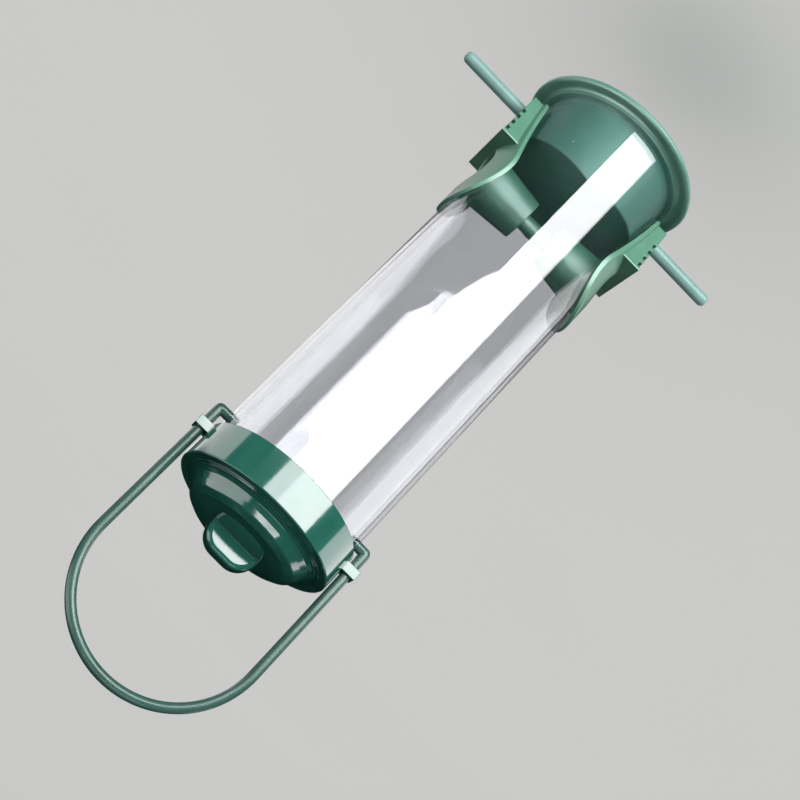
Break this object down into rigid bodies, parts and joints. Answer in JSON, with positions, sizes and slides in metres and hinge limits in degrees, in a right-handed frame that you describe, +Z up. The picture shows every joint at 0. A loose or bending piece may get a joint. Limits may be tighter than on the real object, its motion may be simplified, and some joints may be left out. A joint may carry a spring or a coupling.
{
  "type": "hanging bird feeder",
  "caption": "Clear tube seed feeder for wild birds, with a lift-off domed lid, a carrying bow, feeding ports with perches on opposite sides and a push-in flared base.",
  "frame": {"origin": "centre of the base's underside", "axes": "+Z up along the seed tube, X through the feeding ports and the bow's feet, port a on +X"},
  "size_m": [0.138, 0.0786, 0.2955],
  "materials": {
    "clear_plastic": "clear and polished",
    "lid_green": "gloss",
    "base_green": "soft gloss",
    "bow_green": "soft gloss",
    "port_green": "satin",
    "perch_grey": "satin"
  },
  "bodies": {
    "feeder": {"seed_tube": "clear_plastic", "port_a": "port_green", "port_b": "port_green", "perch_a": "perch_grey", "perch_b": "perch_grey", "tie_rod": "port_green"},
    "bow": {"handle": "bow_green"},
    "cap": {"lid": "lid_green"},
    "foot": {"base": "base_green"}
  },
  "joints": [
    {"name": "handle_swing", "type": "hinge", "parent": "feeder", "child": "bow", "pos_m": [0, 0, 0.197], "axis": [1, 0, 0], "range_deg": [-1, 1]},
    {"name": "lid_slide", "type": "slide", "parent": "bow", "child": "cap", "axis": [0, 0, 1], "range_m": [0, 0.0435]},
    {"name": "base_pull", "type": "slide", "parent": "feeder", "child": "foot", "axis": [0, 0, -1], "range_m": [0, 0.045]}
  ]
}
